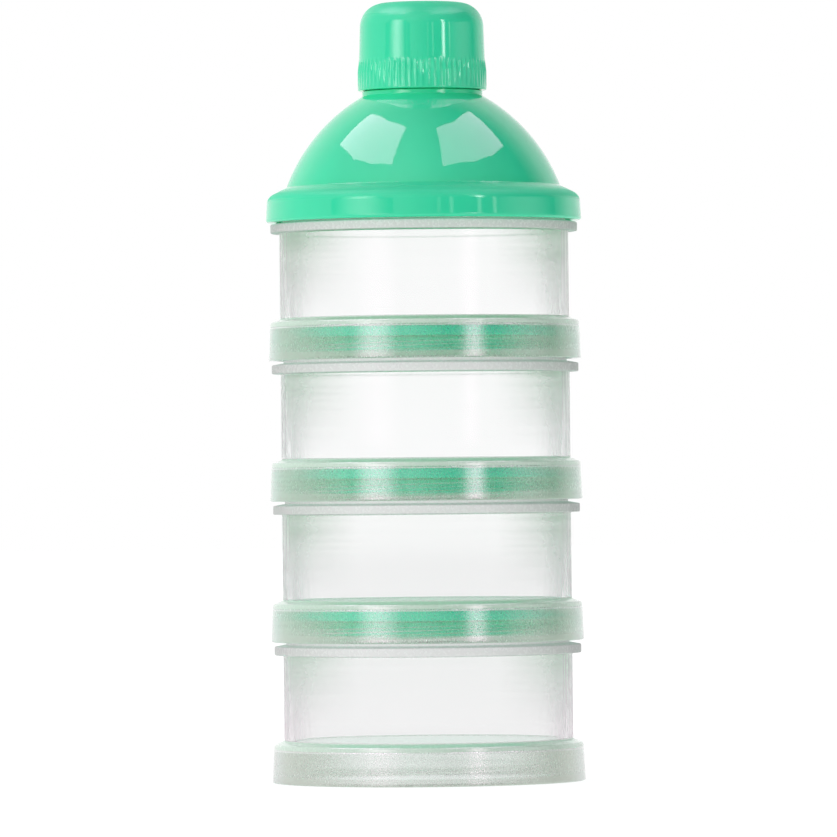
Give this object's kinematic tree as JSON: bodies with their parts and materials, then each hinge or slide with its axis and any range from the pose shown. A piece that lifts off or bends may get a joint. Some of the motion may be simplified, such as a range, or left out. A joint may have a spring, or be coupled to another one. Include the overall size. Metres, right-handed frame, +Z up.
{
  "type": "formula dispenser",
  "caption": "Stack of clear screw-together pots with separator lids, under a dome lid whose threaded pouring spout has a screw cap.",
  "frame": {"origin": "centre of the ring that the bottom pot stands on", "axes": "+Z up along the stack's axis, from the bottom pot to the cap; X and Y level"},
  "size_m": [0.0711, 0.0712, 0.1753],
  "materials": {
    "clear_pot": "glossy clear polypropylene, faintly milky",
    "green_lid": "glossy opaque moulded polypropylene, mint green",
    "green_separator": "glossy opaque moulded polypropylene, mint green",
    "silicone": "satin translucent white silicone"
  },
  "bodies": {
    "container_bottom": {"container_bottom": "clear_pot"},
    "separator_lower": {"separator_lower": "green_separator"},
    "container_lower": {"container_lower": "clear_pot"},
    "separator_middle": {"separator_middle": "green_separator"},
    "container_upper": {"container_upper": "clear_pot"},
    "separator_upper": {"separator_upper": "green_separator"},
    "container_top": {"container_top": "clear_pot"},
    "lid_seal": {"lid_seal": "silicone"},
    "dome_lid": {"dome_lid": "green_lid"},
    "cap_liner": {"cap_liner": "silicone"},
    "spout_cap": {"spout_cap": "green_lid"}
  },
  "joints": [
    {"name": "separator_lower_lift", "type": "slide", "parent": "container_bottom", "child": "separator_lower", "axis": [0, 0, 1], "range_m": [0, 0.0028]},
    {"name": "container_lower_screw", "type": "hinge", "parent": "separator_lower", "child": "container_lower", "pos_m": [0, 0, 0], "axis": [0, 0, 1], "range_deg": [0, 198]},
    {"name": "separator_middle_lift", "type": "slide", "parent": "container_lower", "child": "separator_middle", "axis": [0, 0, 1], "range_m": [0, 0.0028]},
    {"name": "container_upper_screw", "type": "hinge", "parent": "separator_middle", "child": "container_upper", "pos_m": [0, 0, 0], "axis": [0, 0, 1], "range_deg": [0, 198]},
    {"name": "separator_upper_lift", "type": "slide", "parent": "container_upper", "child": "separator_upper", "axis": [0, 0, 1], "range_m": [0, 0.0028]},
    {"name": "container_top_screw", "type": "hinge", "parent": "separator_upper", "child": "container_top", "pos_m": [0, 0, 0], "axis": [0, 0, 1], "range_deg": [0, 198]},
    {"name": "lid_seal_lift", "type": "slide", "parent": "container_top", "child": "lid_seal", "axis": [0, 0, 1], "range_m": [0, 0.0028]},
    {"name": "dome_lid_screw", "type": "hinge", "parent": "lid_seal", "child": "dome_lid", "pos_m": [0, 0, 0], "axis": [0, 0, 1], "range_deg": [0, 198]},
    {"name": "cap_liner_lift", "type": "slide", "parent": "dome_lid", "child": "cap_liner", "axis": [0, 0, 1], "range_m": [0, 0.00455]},
    {"name": "spout_cap_screw", "type": "hinge", "parent": "cap_liner", "child": "spout_cap", "pos_m": [0, 0, 0], "axis": [0, 0, 1], "range_deg": [0, 540]}
  ],
  "couplings": [
    {"joint": "separator_lower_lift", "follows": "container_lower_screw", "m_per_rad": 0.00079577},
    {"joint": "separator_middle_lift", "follows": "container_upper_screw", "m_per_rad": 0.00079577},
    {"joint": "separator_upper_lift", "follows": "container_top_screw", "m_per_rad": 0.00079577},
    {"joint": "lid_seal_lift", "follows": "dome_lid_screw", "m_per_rad": 0.00079577},
    {"joint": "cap_liner_lift", "follows": "spout_cap_screw", "m_per_rad": 0.00047746}
  ]
}
